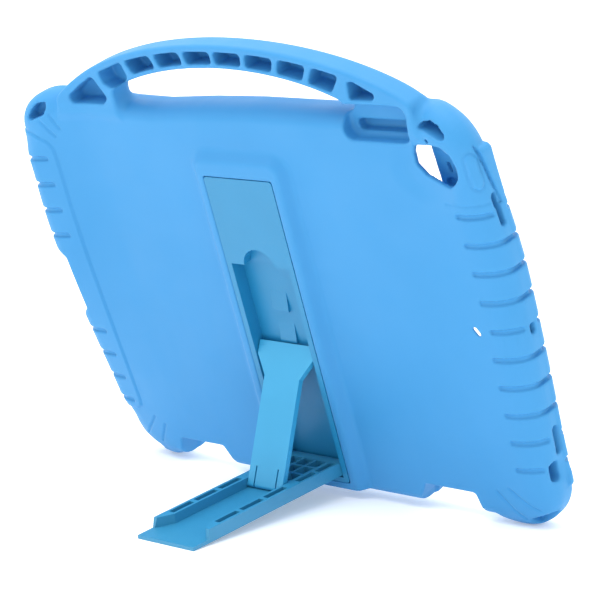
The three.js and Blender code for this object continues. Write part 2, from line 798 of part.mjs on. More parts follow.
// The foot, drawn flat along z from its hinge, with the channel side towards -y.
function footFlat() {
  const half = footWidth / 2;
  const under = footThickness / 2;
  const floor = under - footBase;
  const railEnd = footLength - tongueLength;
  const channelHalf = strutWidth / 2 + footSideGap;
  const barrel = Array.from({ length: 9 }, (_, i) => {
    const angle = Math.PI * (1 + i / 8);
    return [under * Math.cos(angle), under * Math.sin(angle)];
  });
  const profile = [
    ...barrel, [under, footLength], [floor, footLength], [floor, railEnd], [-under, railEnd - railTipSlope],
  ];
  let foot = crossPrism(profile, -half, half);
  const fieldEnd = strutPivot - pivotBlock;
  const flareStart = strutPivot + strutLength - strutHeadLength - strutTaper - channelFlareGap;
  const channel = [
    [-channelHalf, fieldEnd],
    [channelHalf, fieldEnd],
    [channelHalf, flareStart],
    [half - railTipWall, railEnd + past],
    [-half + railTipWall, railEnd + past],
    [-channelHalf, flareStart],
  ];
  foot = foot.subtract(prism(channel, -under - past, floor));
  for (const cell of [...railCells(channelHalf, fieldEnd), ...fieldCells(channelHalf, fieldEnd)]) {
    foot = foot.subtract(box(cell.x, [-under - past, floor], cell.z));
  }
  const holeHalf = channelHalf + trunnionLength + trunnionEndGap;
  const holeRadius = trunnionRadius + pinClearance;
  foot = foot.subtract(crossBar(holeRadius, -holeHalf, holeHalf, -pivotHeight, strutPivot, 12));
  return foot.subtract(crossBar(pinRadius + pinClearance, -half - past, half + past, 0, 0, 16));
}

// Pockets along both rails: long ones towards the tip, and shorter ones beside the field near the hinge.
function railCells(channelHalf, fieldEnd) {
  const cells = [];
  const railStart = fieldEnd + railPivotBlock;
  const railStop = footLength - tongueLength - railEndBlock;
  const pitch = (railStop - railStart + railWeb) / railPockets;
  for (const side of [-1, 1]) {
    const x = [side * (channelHalf + railWall), side * (footWidth / 2 - railWall)].sort((a, b) => a - b);
    for (let i = 0; i < railPockets; i++) {
      cells.push({ x, z: [railStart + i * pitch, railStart + (i + 1) * pitch - railWeb] });
    }
    const start = footThickness / 2 + hingeBlock;
    const share = (fieldEnd - start) / hingePockets;
    for (let i = 0; i < hingePockets; i++) {
      cells.push({ x, z: [start + i * share, start + (i + 1) * share - hingePocketWeb] });
    }
  }
  return cells;
}

// The field of small cells between the hinge and the strut's pivot.
function fieldCells(channelHalf, fieldEnd) {
  const start = footThickness / 2 + hingeBlock;
  const row = (fieldEnd - start) / fieldRows;
  const column = 2 * channelHalf / fieldColumns;
  const cells = [];
  for (let i = 0; i < fieldRows; i++) {
    for (let j = 0; j < fieldColumns; j++) {
      cells.push({
        x: [-channelHalf + j * column + fieldWeb / 2, -channelHalf + (j + 1) * column - fieldWeb / 2],
        z: [start + i * row, start + (i + 1) * row - fieldWeb],
      });
    }
  }
  return cells;
}

// The strut, drawn flat along z from its pivot, with its thickness along y.
function strutFlat() {
  const narrow = strutWidth / 2;
  const wide = footWidth / 2 - headGap;
  const neck = strutLength - strutHeadLength - strutTaper;
  const round = strutThickness / 2;
  const outline = [
    [narrow, 0], [narrow, neck], [wide, neck + strutTaper], [wide, strutLength],
    [-wide, strutLength], [-wide, neck + strutTaper], [-narrow, neck], [-narrow, 0],
  ];
  let strut = prism(outline, -round, round).add(crossBar(round, -narrow, narrow, 0, 0, 16));
  for (const side of [-1, 1]) {
    const x = side * (narrow - slitInset);
    const slit = [x - slitWidth / 2, x + slitWidth / 2];
    strut = strut.subtract(box(slit, [-round - past, round + past], [-round - past, slitLength]));
  }
  const reach = narrow + trunnionLength;
  const trunnion = (low, high) => crossBar(trunnionRadius, low, high, 0, 0, 12);
  return strut.add(trunnion(-reach, past - narrow)).add(trunnion(narrow - past, reach));
}

// Turning about x that takes the flat drawing's z to a direction at an angle from the case's z.
function turned(mesh, angle, y, z) {
  mesh.rotation.x = -angle;
  mesh.position.set(0, y, z);
  return mesh;
}

const shellMesh = named(siliconeShell(), 'silicone_shell', silicone);
const plateMesh = named(standPlate(), 'stand_plate', platePlastic);
const footMesh = turned(named(footFlat(), 'stand_foot', footPlastic), footAngle, hingeY, hingeHeight);
const strutMesh = turned(named(strutFlat(), 'stand_strut', strutPlastic), strutAngle, ...pivotPoint);
const pinHalfLength = plateWidth / 2 - pinEndWall - pinClearance;
const pinBar = crossBar(pinRadius, -pinHalfLength, pinHalfLength, hingeY, hingeHeight, 16);
const pinMesh = named(pinBar, 'foot_hinge_pin', pinSteel);

const caseGroup = new THREE.Group();
caseGroup.add(shellMesh, plateMesh, footMesh, strutMesh, pinMesh);

// The lean at which the rounded corner bumpers and the foot's tip both touch the table.
function leanAngle() {
  const [tipY, tipZ] = footPoint(footLength, -footThickness / 2);
  let lean = 0;
  for (let step = 0; step < 30; step++) {
    const around = Math.atan2(backRoundDepth * Math.sin(lean), backRoundWide * Math.cos(lean));
    const contactY = -backRoundDepth * (1 - Math.sin(around));
    const contactZ = -edgeHalfZ - bumperRise + backRoundWide * (1 - Math.cos(around));
    lean = Math.atan2(tipZ - contactZ, tipY - contactY);
  }
  return lean;
}

caseGroup.rotation.x = -leanAngle();

const tabletCase = new THREE.Group();
tabletCase.add(caseGroup);
tabletCase.updateMatrixWorld(true);
const bounds = new THREE.Box3().setFromObject(tabletCase, true);
tabletCase.position.set(
  -(bounds.min.x + bounds.max.x) / 2, -(bounds.min.y + bounds.max.y) / 2, -bounds.min.z,
);

export default tabletCase;
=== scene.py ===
"""Looks of a silicone tablet case with a carry handle and a folding plastic stand."""
import json
import math

import bpy
import numpy as np
from mathutils import Matrix, Vector


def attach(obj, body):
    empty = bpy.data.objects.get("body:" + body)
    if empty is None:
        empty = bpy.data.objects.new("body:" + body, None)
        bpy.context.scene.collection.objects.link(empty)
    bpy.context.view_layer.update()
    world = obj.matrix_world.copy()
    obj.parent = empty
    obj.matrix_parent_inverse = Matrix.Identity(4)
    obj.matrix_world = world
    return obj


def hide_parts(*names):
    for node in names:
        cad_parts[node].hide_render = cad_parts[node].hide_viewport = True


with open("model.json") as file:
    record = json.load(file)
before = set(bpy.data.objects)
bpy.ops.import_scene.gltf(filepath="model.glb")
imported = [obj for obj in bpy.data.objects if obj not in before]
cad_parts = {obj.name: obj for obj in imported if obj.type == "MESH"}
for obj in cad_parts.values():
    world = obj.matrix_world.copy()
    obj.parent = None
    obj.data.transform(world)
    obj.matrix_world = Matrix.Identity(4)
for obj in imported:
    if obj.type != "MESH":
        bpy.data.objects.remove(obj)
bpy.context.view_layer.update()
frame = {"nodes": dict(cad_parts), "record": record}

# Lengths are millimetres in the case's own frame: x across, y out of the back, z up along the back.
METRES = 0.001
CAMERA_SIDE = -1
PORT_SIDE = 1

# The distance grid of the silicone body: its box, its step and the triangles that are kept
FIELD_LOW = (-144, -25, -108)
FIELD_HIGH = (144, 9, 135)
FAR = 50
GRID_STEP = 0.7
TRIANGLES = 190000

# How far above the back the cutting boxes reach
ABOVE = 3

# Pocket for the tablet
POCKET_HALF_X = 125.6
POCKET_HALF_Z = 87.35
POCKET_CORNER = 9.0
FLOOR = 4.0
TABLET_THICKNESS = 7.5
CLEARANCE = 0.3
LIP = 3.0
LIP_OVERLAP = 4.0
LIP_FLARE = 6.5
BUMPER_HEIGHT = 6.2
POCKET_FRONT = -FLOOR - TABLET_THICKNESS - CLEARANCE
SHELL_FRONT = POCKET_FRONT - LIP - BUMPER_HEIGHT
TABLET_MIDDLE = -FLOOR - TABLET_THICKNESS / 2

# Outline and rounding of the shell. The bumper by the handle's port root is smaller than the other three.
WALL = 12.2
SIDE_BULGE = 2.0
BUMPER_RADIUS = 23.0
BUMPER_RISE = 4.5
EDGE_HALF_X = POCKET_HALF_X + WALL
EDGE_HALF_Z = POCKET_HALF_Z + WALL
BUMPER_X = EDGE_HALF_X - BUMPER_RADIUS
BUMPER_Z = EDGE_HALF_Z + BUMPER_RISE - BUMPER_RADIUS
HANDLE_BUMPER_RADIUS = 18.0
HANDLE_BUMPER_TOP = 102.2
SIDE_HALF = EDGE_HALF_X + SIDE_BULGE
ROUND_WIDE = 16.0
ROUND_NARROW = 7.0
ROUND_DEPTH = 11.0
ROUND_FRONT = 6.0
ROUND_FRONT_EXTRA = 5.0

# The top edge dips a little at the port end of the finger slot.
TOP_DIP = [(72, 97.0), (50, 96.6), (20, 98.6), (-10, EDGE_HALF_Z)]

# How far the soft empty case bends out of its own plane
PORT_BEND = 17.0
PORT_BEND_BOTTOM = -7.3
PORT_CORNER_BEND = 3.0
CAMERA_CORNER_BEND = 6.0

# Carry handle with its row of blind pockets
HANDLE_TOP = EDGE_HALF_Z + 30.8
HANDLE_OUTER_HALF = {CAMERA_SIDE: 132.0, PORT_SIDE: 123.0}
HANDLE_OUTER_RISE = 53.0
HANDLE_INNER = (105.0, 48.0)
HANDLE_WIDTH = 11.5
HANDLE_THICKNESS = 14.0
HANDLE_ROOT_HALF = 110.0
HANDLE_FILLET = 4.0
SLOT_HALF = 72.0
RIB_PLACES = (-72.0, -54.0, -36.0, -18.0, 0.3, 18.9, 37.4, 57.6)
RIB = 2.2
RIM = 2.2
OUTER_RIM = 3.2
RIB_LEAN = 0.06
ARCH_FALL = 0.07
POCKET_DEPTH = 10.0
POCKET_FLOOR_ROUND = 1.0
ROOT_POCKETS = (
    ([(76.3, 101.2), (80.2, 98.1), (100.3, 98.0), (102.2, 101.8), (93.0, 107.6), (83.5, 112.4)], 2.4),
    ([(78.4, 114.4), (60.9, 120.2), (58.6, 112.4), (66.0, 107.6), (71.8, 106.6), (76.2, 108.6)], 2.0),
    ([(-76.2, 107.4), (-89.2, 107.7), (-91.2, 110.4), (-80.2, 116.0), (-77.0, 115.8)], 1.2),
)

# Pad around the stand plate
PAD_HEIGHT = 4.5
PAD_HALF = 25.5
PAD_TOP = 74.0
PAD_BOTTOM = -EDGE_HALF_Z + 4.5
PAD_SLOPE = 4.5
PAD_CORNER = 5.0
PAD_FILLET = 1.2
WINDOW_HALF = 21.4
WINDOW_TOP = 66.9
WINDOW_BOTTOM = -91.3
FLANGE = 3.0
REBATE_DEPTH = -1.8
REBATE_BOTTOM = -86.3

# Grooves around the flanks, numbered from the middle, and where some stop short of an opening
GROOVE = 2.4
GROOVE_DEPTH = {CAMERA_SIDE: 1.2, PORT_SIDE: 0.55}
GROOVE_FLANK_DEPTH = {CAMERA_SIDE: 2.2, PORT_SIDE: 1.3}
GROOVE_PITCH = 14.0
GROOVE_REACH = {CAMERA_SIDE: 17.0, PORT_SIDE: 14.6}
GROOVE_NUMBERS = {
    CAMERA_SIDE: (-5, -4, -3, -2, -1, 0, 1, 2, 3, 4),
    PORT_SIDE: (-5, -4, -3, -2, 2, 3, 4, 5),
}
GROOVE_STOPS = {
    (CAMERA_SIDE, -5): -4.5,
    (CAMERA_SIDE, -4): -8.2,
    (CAMERA_SIDE, 0): -7.6,
    (CAMERA_SIDE, 4): -7.8,
}
MIDDLE_GROOVE_SHORTER = 2.0
THIN_GROOVE = 0.9
THIN_GROOVE_DEPTH = 0.5
THIN_GROOVE_START = 117.5
THIN_GROOVE_NUMBER = 4.4
THIN_GROOVE_STOP = -8.0

# Raised band of the port side
BAND_RISE = 0.7
BAND_EDGE = 119.0
BAND_ROUND = (8.0, 7.0)
BAND_LINE_DEPTH = 0.35
BAND_OUTLINE = [
    (BAND_EDGE, 75), (BAND_EDGE, -69), (119.6, -72.4), (123, -74.6), (150, -77.5), (150, 87), (129, 83.4),
    (121.4, 79),
]

# Two thin lines on a corner bumper, given by their ends, which are measured outwards from its middle
LINE = 1.1
LINE_DEPTH = 0.7
CORNER_LINES = {
    (PORT_SIDE, 1): [(7.2, 9.1), (1.0, 0.4), (1.7, 11.4), (-2.6, 4.0)],
    (PORT_SIDE, -1): [(-3.8, -3.6), (6.8, 8.1), (-10.8, -0.4), (-4.0, 10.8)],
    (CAMERA_SIDE, -1): [(-7.1, 2.3), (4.6, 15.4), (0.2, -0.5), (13.2, 10.1)],
}

# Half-moon holes of the lower corners: the way outwards from the bumper's middle, and the round side's angle
CORNER_HOLES = {
    (PORT_SIDE, -1): (6.4, 13.6, 64),
    (CAMERA_SIDE, -1): (12.4, 14.6, 74),
}
CORNER_HOLE_RADIUS = 6.4

# Holes of the upper corners
TOP_HOLES = (
    [(129.3, 91.7), (126.9, 95.3), (123.9, 97.9), (118.6, 98.3), (118.4, 95.0), (119.8, 92.4),
     (128.5, 89.9)],
    [(-111.2, 97.4), (-113.8, 98.9), (-117.6, 99.3), (-121.8, 97.7), (-125.2, 94.2), (-125.6, 92.2),
     (-122.8, 91.8), (-111.4, 95.8)],
)

# Camera side's flank, with the step at its back edge
FLANK_TOP = 88
FLANK_BACK = -9.0
FLANK_BACK_FALL = 0.17
STEP_LEVEL = -8.8
STEP_FALL = 0.16
STEP_HALF_WIDTH = 0.45
STEP_DEPTH = 1.3

# Raised oval over the power button
PILL_MIDDLE = 77
PILL_REACH = 5.0
PILL_RADIUS = 3.0
PILL_RISE = 0.8
PILL_RING_DEPTH = 0.5
PILL_ANGLE = math.radians(60)

# Recess over the volume buttons: left, right, bottom, top, and the ends of the slot in its floor
VOLUME_RECESS = (-105.8, -68.4, 88.3, 105.4)
VOLUME_DEPTH = 7.0
VOLUME_SLOT = ((-101, 93.2), (-74.6, 93.2))
VOLUME_SLOT_RADIUS = 2.7
VOLUME_SLOT_DEPTH = 12.0

# Camera hole in its shallow dish, and the web of the front lip that shows through it
CAMERA_DISH = (-110.5, 76)
CAMERA_DISH_HALF = (21, 17)
CAMERA_DISH_DEPTH = 1.5
CAMERA_HOLE = [
    (-106.4, 87.6), (-104.6, 83.6), (-104.6, 78.6), (-109.0, 74.0), (-118.6, 70.2), (-122.6, 69.6),
    (-125.8, 71.8), (-128.2, 74.6), (-128.8, 79.4), (-127.2, 85.4), (-122.4, 88.6), (-118.1, 89.0),
]
CORNER_WEB = [(-105.6, 83), (-107.6, 62), (-127, 62), (-127, 83)]
WEB_SLOTS = (
    ((-114.1, 74.8), (-114.9, 72.2), 1.0),
    ((-112.4, 66.2), (-114.3, 66.6), 1.8),
)
WEB_SLOT_DEPTH = 1.9

# Openings through the flanks: side, middle, half length, radius, and how far forwards the mouth is shifted
JACK = -72.5
JACK_BOWL_RADIUS = 8.6
JACK_BOWL_SLOPE = 2.4
FLANK_OPENINGS = {
    "upper_speaker": (CAMERA_SIDE, 57, 6.3, 1.8, 3.0),
    "lower_speaker": (CAMERA_SIDE, -58, 5.2, 1.8, 4.2),
    "microphone": (CAMERA_SIDE, -1.6, 0.9, 1.7, 3.4),
    "charging_port": (PORT_SIDE, 0, 4.5, 3.5, 0.0),
    "headphone_jack": (CAMERA_SIDE, JACK, 2.4, 2.7, 0.6),
}

# Notches around the charging port and in the bottom edge
NOTCH_FLOOR = TABLET_MIDDLE - 4.9
NOTCH_CORNER = 2.0
PORT_NOTCH_INNER = SIDE_HALF - 6.5
PORT_NOTCH = [
    (PORT_NOTCH_INNER, -15), (PORT_NOTCH_INNER + 8, -21.2), (150, -22), (150, 22),
    (PORT_NOTCH_INNER + 8, 21.2), (PORT_NOTCH_INNER, 15),
]
BOTTOM_TOP = -POCKET_HALF_Z + 0.8
BOTTOM_NOTCH = [(94, BOTTOM_TOP), (65, BOTTOM_TOP), (60, -95), (55.5, -107), (97.5, -107), (97, -97.5)]
BOTTOM_RIM_NOTCH = [(93, -90.5), (66, -90.5), (60.5, -97), (56, -108), (97.5, -108), (96.5, -98)]

# Small oval hole through the floor, wider towards the tablet, and the pin mark above the camera hole
SMALL_HOLE = ((-118.4, -1.5), (-116.7, 0.8))
SMALL_HOLE_RADIUS = 0.9
SMALL_HOLE_LAND = 0.8
SMALL_HOLE_FLARE = 1.2
PIN_MARK = ((-115.4, 90.6), (-114.8, 91.2))
PIN_MARK_RADIUS = 0.7
PIN_MARK_DEPTH = 2.5

# Base colours, two close shades each
SILICONE_SHADES = ((0.042, 0.258, 0.548), (0.048, 0.271, 0.570))
STEEL_SHADES = ((0.68, 0.69, 0.71), (0.78, 0.79, 0.81))
TABLE_SHADES = ((0.93, 0.93, 0.93), (0.95, 0.95, 0.95))
PLASTICS = {
    "stand_plate": ("plate_plastic", (0.009, 0.212, 0.426), (0.011, 0.223, 0.446), 0.42),
    "stand_foot": ("foot_plastic", (0.026, 0.234, 0.416), (0.031, 0.249, 0.440), 0.38),
    "stand_strut": ("strut_plastic", (0.028, 0.306, 0.548), (0.033, 0.325, 0.578), 0.4),
}
EDGE_ROUNDING = 0.25


def smoothstep(edge0, edge1, value):
    share = np.clip((value - edge0) / (edge1 - edge0), 0, 1)
    return share * share * (3 - 2 * share)


def round_max(a, b, radius):
    """What two distances share, with a round edge where they meet."""
    outside = np.hypot(np.maximum(a + radius, 0), np.maximum(b + radius, 0))
    return np.minimum(np.maximum(a, b), -radius) + outside


def round_min(a, b, radius):
    """Either of two distances, with a round hollow where they meet."""
    return -round_max(-a, -b, radius)


def polygon(points, x, z):
    """Distance to a closed outline, negative inside."""
    shape = np.broadcast(x, z).shape
    nearest = np.full(shape, np.inf, np.float32)
    inside = np.zeros(shape, bool)
    for (ax, az), (bx, bz) in zip(points, points[1:] + points[:1]):
        ex, ez = bx - ax, bz - az
        share = np.clip(((x - ax) * ex + (z - az) * ez) / (ex * ex + ez * ez), 0, 1)
        gap = (x - ax - share * ex) ** 2 + (z - az - share * ez) ** 2
        nearest = np.minimum(nearest, gap)
        if ez:
            crossed = ((az > z) != (bz > z)) & (x < ax + (z - az) * ex / ez)
            inside ^= crossed
    return np.where(inside, -1, 1) * np.sqrt(nearest)


def inset(points, distance):
    """A convex outline, listed anticlockwise, with every edge moved inwards."""
    moved = []
    count = len(points)
    for i, (px, pz) in enumerate(points):
        ax, az = points[i - 1]
        bx, bz = points[(i + 1) % count]
        first = Vector((px - ax, pz - az)).normalized()
        second = Vector((bx - px, bz - pz)).normalized()
        half = (first + second).normalized()
        reach = distance / max(half.dot(first), 0.3)
        moved.append((px - half.y * reach, pz + half.x * reach))
    return moved


def anticlockwise(points):
    area = sum(a[0] * b[1] - b[0] * a[1] for a, b in zip(points, points[1:] + points[:1]))
    return points if area > 0 else points[::-1]


def rounded_polygon(points, radius, x, z):
    return polygon(inset(anticlockwise(list(points)), radius), x, z) - radius


def rounded_box(left, right, bottom, top, radius, x, z):
    across = np.abs(x - (left + right) / 2) - (right - left) / 2
    up = np.abs(z - (bottom + top) / 2) - (top - bottom) / 2
    return round_max(across, up, radius)


def stadium(start, end, radius, x, z):
    """Distance to a bar with round ends between two points."""
    ex, ez = end[0] - start[0], end[1] - start[1]
    share = np.clip(((x - start[0]) * ex + (z - start[1]) * ez) / (ex * ex + ez * ez), 0, 1)
    return np.hypot(x - start[0] - share * ex, z - start[1] - share * ez) - radius


def upright_stadium(reach, radius, across, up):
    """Distance to an upright bar with round ends around the origin."""
    return np.hypot(across, np.maximum(np.abs(up) - reach, 0)) - radius


def ellipse(centre, half, rise, x, z):
    """Distance to an upright ellipse about x = 0, close to true near its edge."""
    up = z - centre
    k0 = np.hypot(x / half, up / rise)
    k1 = np.hypot(x / half ** 2, up / rise ** 2)
    return k0 * (k0 - 1) / np.maximum(k1, 1e-6)


def ellipse_edge(side, top, reach, depth):
    """A side wall and a top face joined by an elliptic rounding."""
    u = np.maximum(side + reach, 0) / reach
    v = np.maximum(top + depth, 0) / depth
    k0 = np.hypot(u, v)
    k1 = np.hypot(u / reach, v / depth)
    rounding = k0 * (k0 - 1) / np.maximum(k1, 1e-6)
    return np.where((u > 0) & (v > 0), rounding, np.maximum(side, top))


def arc(centre, radius, start, end):
    """Points on a round stretch of an outline."""
    angles = [start + (end - start) * i / 16 for i in range(17)]
    return [(centre[0] + radius * math.cos(a), centre[1] + radius * math.sin(a)) for a in angles]


class Field:
    """A box of grid points that hold the distance to a solid, negative inside it."""

    def __init__(self, low, high, step):
        self.step = step
        self.axes = [np.arange(a, b + step, step, dtype=np.float32) for a, b in zip(low, high)]
        self.value = np.full([len(axis) for axis in self.axes], FAR, np.float32)

    def block(self, low, high, margin=3.0):
        """The grid's part inside a box: its place in the grid and its coordinates."""
        place = []
        for axis, a, b in zip(self.axes, low, high):
            place.append(slice(np.searchsorted(axis, a - margin), np.searchsorted(axis, b + margin)))
        x, y, z = (axis[s] for axis, s in zip(self.axes, place))
        return tuple(place), x[:, None, None], y[None, :, None], z[None, None, :]

    def join(self, low, high, distance, fillet=0.0):
        """Adds a solid that lies in a box, with a round hollow where it meets the rest."""
        place, x, y, z = self.block(low, high, 3.0 + fillet)
        self.value[place] = round_min(self.value[place], distance(x, y, z), fillet)

    def cut(self, low, high, distance, edge):
        """Takes a solid that lies in a box away, with a round edge at its mouth."""
        place, x, y, z = self.block(low, high, 3.0 + edge)
        self.value[place] = round_max(self.value[place], -distance(x, y, z), edge)

    def raise_by(self, low, high, height):
        """Moves the surface outwards by a height that depends on the place."""
        place, x, y, z = self.block(low, high)
        self.value[place] -= height(x, y, z)


def blind(outline, floor, corner):
    """A pocket that opens to the back, with a flat floor at y = floor."""
    return lambda x, y, z: round_max(outline(x, z), floor - y, corner)


def shell_outline():
    """Points around the case without its handle."""
    lean = math.asin((EDGE_HALF_Z - BUMPER_Z) / BUMPER_RADIUS)
    small_x = EDGE_HALF_X - HANDLE_BUMPER_RADIUS
    small_z = HANDLE_BUMPER_TOP - HANDLE_BUMPER_RADIUS
    small_lean = math.asin((EDGE_HALF_Z - small_z) / HANDLE_BUMPER_RADIUS)
    points = arc((small_x, small_z), HANDLE_BUMPER_RADIUS, 0, math.pi - small_lean)
    points += TOP_DIP
    points += arc((-BUMPER_X, BUMPER_Z), BUMPER_RADIUS, lean, math.pi)
    points += side_points(CAMERA_SIDE)
    points += arc((-BUMPER_X, -BUMPER_Z), BUMPER_RADIUS, math.pi, 2 * math.pi - lean)
    points += arc((BUMPER_X, -BUMPER_Z), BUMPER_RADIUS, math.pi + lean, 2 * math.pi)
    points += side_points(PORT_SIDE)
    return points


def side_half_at(z):
    return EDGE_HALF_X + SIDE_BULGE * (1 - (z / BUMPER_Z) ** 2)


def side_points(side):
    """The slightly bulging flank between two corner bumpers."""
    heights = [side * BUMPER_Z * (i / 6 - 1) for i in range(1, 12)]
    return [(side * side_half_at(z), z) for z in heights]


def back_round(x, z):
    """Reach and depth of the back's rounding: wide at the corners and the camera side, tight on the band."""
    wide = smoothstep(BUMPER_X - 0.6 * BUMPER_RADIUS, BUMPER_X, np.abs(x))
    band = smoothstep(95, 110, x) * smoothstep(84, 68, np.abs(z))
    reach = ROUND_NARROW + (ROUND_WIDE - ROUND_NARROW) * wide
    return reach + (BAND_ROUND[0] - reach) * band, ROUND_DEPTH + (BAND_ROUND[1] - ROUND_DEPTH) * band


def front_round(x, z):
    """The front edge is rounder at the camera's corner."""
    return ROUND_FRONT + ROUND_FRONT_EXTRA * smoothstep(105, 125, -x) * smoothstep(55, 85, z)


def shell_body(x, y, z):
    side = polygon(shell_outline(), x, z)
    return round_max(ellipse_edge(side, y, *back_round(x, z)), SHELL_FRONT - y, front_round(x, z))


def handle_outer(x, z):
    half = np.where(x > 0, HANDLE_OUTER_HALF[PORT_SIDE], HANDLE_OUTER_HALF[CAMERA_SIDE])
    return ellipse(HANDLE_TOP - HANDLE_OUTER_RISE, half, HANDLE_OUTER_RISE, x, z)


def handle_inner(x, z):
    return ellipse(HANDLE_TOP - HANDLE_WIDTH - HANDLE_INNER[1], *HANDLE_INNER, x, z)


def handle(x, y, z):
    """The arch with its finger slot, flush with the back."""
    foot = POCKET_HALF_Z + 5
    band = round_max(handle_outer(x, z), np.abs(x) - HANDLE_ROOT_HALF, 2.0)
    band = np.maximum(band, foot - z)
    slot = round_max(handle_inner(x, z), np.abs(x) - SLOT_HALF, 3.2)
    outline = np.maximum(band, -slot)
    back = round_max(outline, y, 1.8)
    return round_max(back, -HANDLE_THICKNESS - y, 4.5)


def cut_polygon_pocket(field, points, corner, edge):
    """A blind pocket with a rounded outline through some points."""
    xs = [p[0] for p in points]
    zs = [p[1] for p in points]

    def outline(x, z):
        return rounded_polygon(points, corner, x, z)

    pocket = blind(outline, -POCKET_DEPTH, POCKET_FLOOR_ROUND)
    field.cut((min(xs), -POCKET_DEPTH, min(zs)), (max(xs), ABOVE, max(zs)), pocket, edge)


def cut_arch_pocket(field, low, high):
    """A blind pocket of the arch, between two ribs that lean a little towards the ends."""
    def outline(x, z):
        middle = HANDLE_TOP - ARCH_FALL * abs(low + high) - HANDLE_WIDTH / 2
        lean = 1 + RIB_LEAN * (z - middle) / (HANDLE_WIDTH / 2)
        across = np.maximum(low * lean - x, x - high * lean)
        band = round_max(handle_outer(x, z) + OUTER_RIM, RIM - handle_inner(x, z), 2.0)
        return round_max(band, across, 2.0)

    pocket = blind(outline, -POCKET_DEPTH, POCKET_FLOOR_ROUND)
    field.cut((low - 6, -POCKET_DEPTH, 95), (high + 6, ABOVE, FIELD_HIGH[2]), pocket, 0.6)


def cut_handle_pockets(field):
    for start, end in zip(RIB_PLACES, RIB_PLACES[1:]):
        cut_arch_pocket(field, start + RIB / 2, end - RIB / 2)
    for points, corner in ROOT_POCKETS:
        cut_polygon_pocket(field, points, corner, 0.6)


def pad(x, y, z):
    """The raised pad with soft sloping sides, from its top edge down to the case's bottom edge."""
    plan = rounded_box(-PAD_HALF, PAD_HALF, -EDGE_HALF_Z, PAD_TOP, PAD_CORNER, x, z)
    slope = (plan + y - PAD_SLOPE) / math.sqrt(2)
    solid = round_max(slope, y - PAD_HEIGHT, 1.0)
    return np.maximum(np.maximum(solid, -FLOOR - y), PAD_BOTTOM - z)


def cut_window(field):
    """The window for the stand plate, and the rebate for its flange on the tablet's side."""
    wide = WINDOW_HALF + FLANGE
    top = WINDOW_TOP + FLANGE
    below = -FLOOR - 3

    def window(x, y, z):
        plan = rounded_box(-WINDOW_HALF, WINDOW_HALF, WINDOW_BOTTOM, WINDOW_TOP, 0.8, x, z)
        return np.maximum(plan, -FLOOR - 2 - y)

    def rebate(x, y, z):
        plan = rounded_box(-wide, wide, REBATE_BOTTOM, top, 1.0, x, z)
        return np.maximum(plan, y - REBATE_DEPTH)

    field.cut((-WINDOW_HALF, below, WINDOW_BOTTOM), (WINDOW_HALF, PAD_HEIGHT + 3, WINDOW_TOP), window, 0.35)
    field.cut((-wide, below, REBATE_BOTTOM), (wide, REBATE_DEPTH, top), rebate, 0.2)


def cut_pocket(field):
    """The tablet's pocket and the flared mouth in front of it."""
    half_x = POCKET_HALF_X - LIP_OVERLAP
    half_z = POCKET_HALF_Z - LIP_OVERLAP

    def pocket(x, y, z):
        plan = rounded_box(-POCKET_HALF_X, POCKET_HALF_X, -POCKET_HALF_Z, POCKET_HALF_Z, POCKET_CORNER, x, z)
        return round_max(plan, np.maximum(y + FLOOR, POCKET_FRONT - y), 0.8)

    def mouth(x, y, z):
        flare = np.clip((POCKET_FRONT - LIP - y) / BUMPER_HEIGHT, 0, 1.2) * LIP_FLARE
        plan = rounded_box(-half_x, half_x, -half_z, half_z, POCKET_CORNER, x, z)
        return np.maximum(plan - flare, y + FLOOR + 1)

    low = (-POCKET_HALF_X, POCKET_FRONT, -POCKET_HALF_Z)
    field.cut(low, (POCKET_HALF_X, -FLOOR, POCKET_HALF_Z), pocket, 0.3)
    low = (-half_x - 8, SHELL_FRONT - 3, -half_z - 8)
    field.cut(low, (half_x + 8, -FLOOR, half_z + 8), mouth, 0.9)


def cut_side_grooves(field, body):
    """Channels that wrap the rounded side edges, cut to an even depth below the body's surface."""
    for side, numbers in GROOVE_NUMBERS.items():
        for number in numbers:
            height = number * GROOVE_PITCH
            start = side_half_at(height) - GROOVE_REACH[side]
            if number == 0:
                start += MIDDLE_GROOVE_SHORTER
            stop = GROOVE_STOPS.get((side, number))
            cut_channel(field, body, side, height, start, GROOVE, GROOVE_DEPTH[side], stop)
    height = THIN_GROOVE_NUMBER * GROOVE_PITCH
    cut_channel(field, body, CAMERA_SIDE, height, THIN_GROOVE_START, THIN_GROOVE, THIN_GROOVE_DEPTH,
                THIN_GROOVE_STOP)


def cut_channel(field, body, side, height, start, width, depth, stop):
    """One channel. Where it would cross an opening it stops, and goes on in front of it."""
    low_x, high_x = sorted((side * start, side * FIELD_HIGH[0]))
    place, x, y, z = field.block((low_x, SHELL_FRONT - 2, height - width), (high_x, ABOVE, height + width))
    past = np.maximum(start + width / 2 - side * x, 0)
    plan = np.hypot(past, z - height) - width / 2
    deeper = (GROOVE_FLANK_DEPTH[side] - GROOVE_DEPTH[side]) * smoothstep(-6, -12, y)
    channel = round_max(plan, -(body[place] + depth + deeper), 0.3)
    if stop is not None:
        channel = round_max(channel, np.minimum(stop - y, y + 15.5), 0.8)
    field.value[place] = round_max(field.value[place], -channel, 0.35)


def cut_corner_lines(field, body):
    for (sx, sz), offsets in CORNER_LINES.items():
        points = [(sx * (BUMPER_X + ox), sz * (BUMPER_Z + oz)) for ox, oz in offsets]
        for start, end in (points[0:2], points[2:4]):
            cut_line(field, body, start, end)


def cut_line(field, body, start, end):
    """A thin line of even depth below the body's surface."""
    low = (min(start[0], end[0]), -12, min(start[1], end[1]))
    high = (max(start[0], end[0]), 2, max(start[1], end[1]))
    place, x, y, z = field.block(low, high)
    line = round_max(stadium(start, end, LINE / 2, x, z), -(body[place] + LINE_DEPTH), 0.3)
    field.value[place] = round_max(field.value[place], -line, 0.4)


